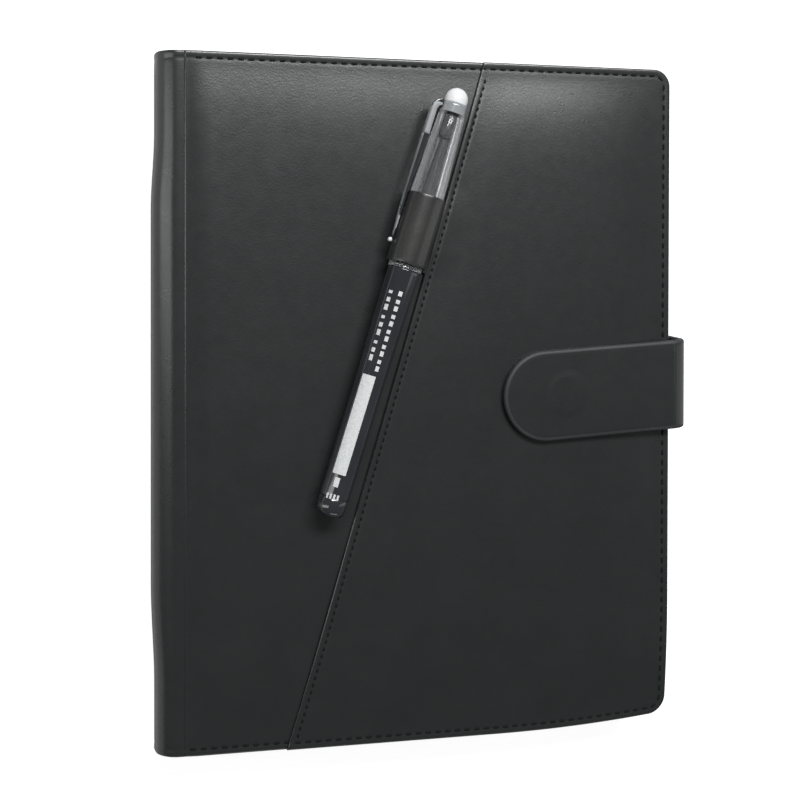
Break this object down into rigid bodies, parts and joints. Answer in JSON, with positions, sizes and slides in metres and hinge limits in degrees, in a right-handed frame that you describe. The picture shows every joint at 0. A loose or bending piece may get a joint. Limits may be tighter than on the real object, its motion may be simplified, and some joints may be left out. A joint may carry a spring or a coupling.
{
  "type": "notebook cover",
  "caption": "Soft padded leather notebook cover with a slanted outside pocket, a pen in a leather loop, and a magnetic strap round the fore edge.",
  "frame": {"origin": "centre of the back cover's flat underside", "axes": "+Y towards the head of the cover, +X towards the fore edge, +Z out of the front cover"},
  "size_m": [0.1871, 0.232, 0.0346],
  "materials": {
    "leather": "matte, fine smooth grain",
    "lining": "matte woven",
    "board": "matte",
    "foam": "matte",
    "paper": "matte",
    "tape": "matte",
    "plate": "satin",
    "clear": "gloss",
    "dark_plastic": "gloss",
    "smoke": "gloss",
    "white_plastic": "gloss",
    "metal": "bright"
  },
  "bodies": {
    "back_cover": {"back_leather": "leather", "back_board": "board", "back_lining": "lining", "strap_root": "leather", "back_sleeve": "lining", "refill_card": "board", "page_block": "paper", "refill_tape": "tape", "fold_back_leather": "leather", "fold_back_lining": "lining", "strap_fold_back": "leather"},
    "spine": {"spine_leather": "leather", "spine_lining": "lining"},
    "front_cover": {"fold_front_leather": "leather", "fold_front_lining": "lining", "front_leather": "leather", "front_foam": "foam", "closure_plate": "plate", "front_board": "board", "front_lining": "lining", "front_inner_pocket": "lining", "card_slot_1": "leather", "card_slot_2": "leather", "card_slot_3": "leather", "front_pocket_panel": "leather", "pen_loop": "leather"},
    "pen_cap_body": {"pen_cap": "clear", "cap_crown": "white_plastic", "cap_liner": "smoke"},
    "pen_body": {"pen_barrel": "smoke", "nose_cone": "dark_plastic", "pen_point": "metal", "ink_tube": "clear", "tail_plug": "smoke"},
    "strap_side_body": {"strap_side": "leather", "strap_fold_front": "leather"},
    "strap_tongue_body": {"strap_tongue": "leather", "tongue_lining": "leather", "strap_magnet": "plate"}
  },
  "joints": [
    {"name": "spine_turn", "type": "hinge", "parent": "back_cover", "child": "spine", "pos_m": [-0.08797, 0, 0.00253], "axis": [0, -1, 0], "range_deg": [0, 90], "deforming": ["fold_back_leather", "fold_back_lining"]},
    {"name": "cover_turn", "type": "hinge", "parent": "spine", "child": "front_cover", "pos_m": [-0.08797, 0, 0.01747], "axis": [0, -1, 0], "range_deg": [0, 75], "deforming": ["fold_front_leather", "fold_front_lining"]},
    {"name": "strap_fold", "type": "hinge", "parent": "back_cover", "child": "strap_side_body", "pos_m": [0.09435, 0, 0.00285], "axis": [0, 1, 0], "range_deg": [0, 90], "deforming": ["strap_fold_back"]},
    {"name": "strap_lift", "type": "hinge", "parent": "strap_side_body", "child": "strap_tongue_body", "pos_m": [0.09435, 0, 0.02315], "axis": [0, 1, 0], "range_deg": [0, 90], "deforming": ["strap_fold_front"]},
    {"name": "pen_slide", "type": "slide", "parent": "front_cover", "child": "pen_cap_body", "axis": [0.3024, 0.9532, 0], "range_m": [0, 0.115]},
    {"name": "pen_uncap", "type": "slide", "parent": "pen_cap_body", "child": "pen_body", "axis": [-0.3024, -0.9532, 0], "range_m": [0, 0.055]}
  ]
}
